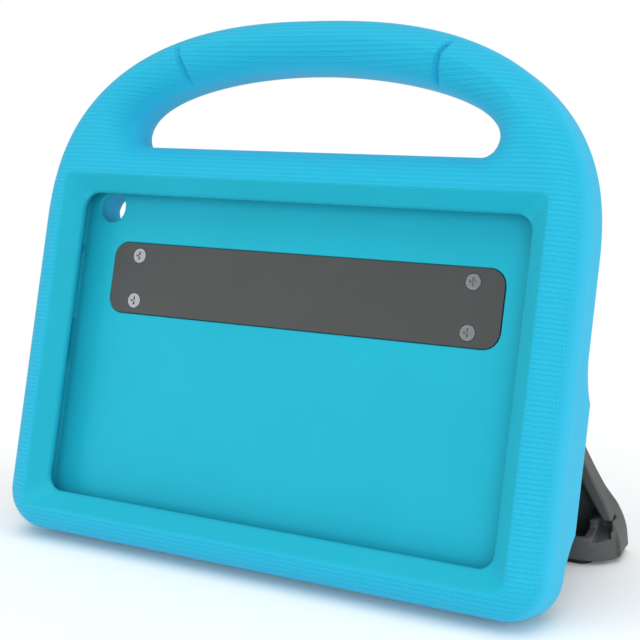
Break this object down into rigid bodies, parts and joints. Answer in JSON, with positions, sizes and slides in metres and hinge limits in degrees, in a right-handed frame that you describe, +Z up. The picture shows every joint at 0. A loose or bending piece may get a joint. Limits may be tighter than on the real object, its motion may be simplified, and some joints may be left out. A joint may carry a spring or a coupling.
{
  "type": "tablet case",
  "caption": "Soft foam tablet case with a carrying handle over a screen window, standing on a hinged fold-out stand.",
  "frame": {"origin": "centre of the footprint's box, on the floor, with the case leaning back on its open stand", "axes": "+X across the case, to the right seen from the front; -Y out of the front; +Z up"},
  "size_m": [0.2288, 0.1033, 0.2018],
  "materials": {
    "blue_foam": "soft closed-cell foam, matte, finely ribbed on the front, smooth on the window's bevel",
    "black_plastic": "moulded plastic with a fine grain",
    "grey_plastic": "moulded plastic sheet, satin",
    "steel": "plated steel",
    "brass": "machined brass",
    "black_rubber": "moulded rubber, matte"
  },
  "bodies": {
    "case": {"foam_body": "blue_foam", "hinge_base": "black_plastic", "clamp_plate": "grey_plastic", "plate_screws": "steel", "screw_inserts": "brass", "hinge_pin_left": "steel", "hinge_pin_right": "steel", "friction_washer_left": "brass", "friction_washer_right": "brass"},
    "stand": {"stand_leg": "black_plastic", "foot_pad_left": "black_rubber", "foot_pad_right": "black_rubber"}
  },
  "joints": [
    {"name": "stand_hinge", "type": "hinge", "parent": "case", "child": "stand", "pos_m": [0, 0.0068, 0.09677], "axis": [1, 0, 0], "range_deg": [-30.5, 0]}
  ]
}
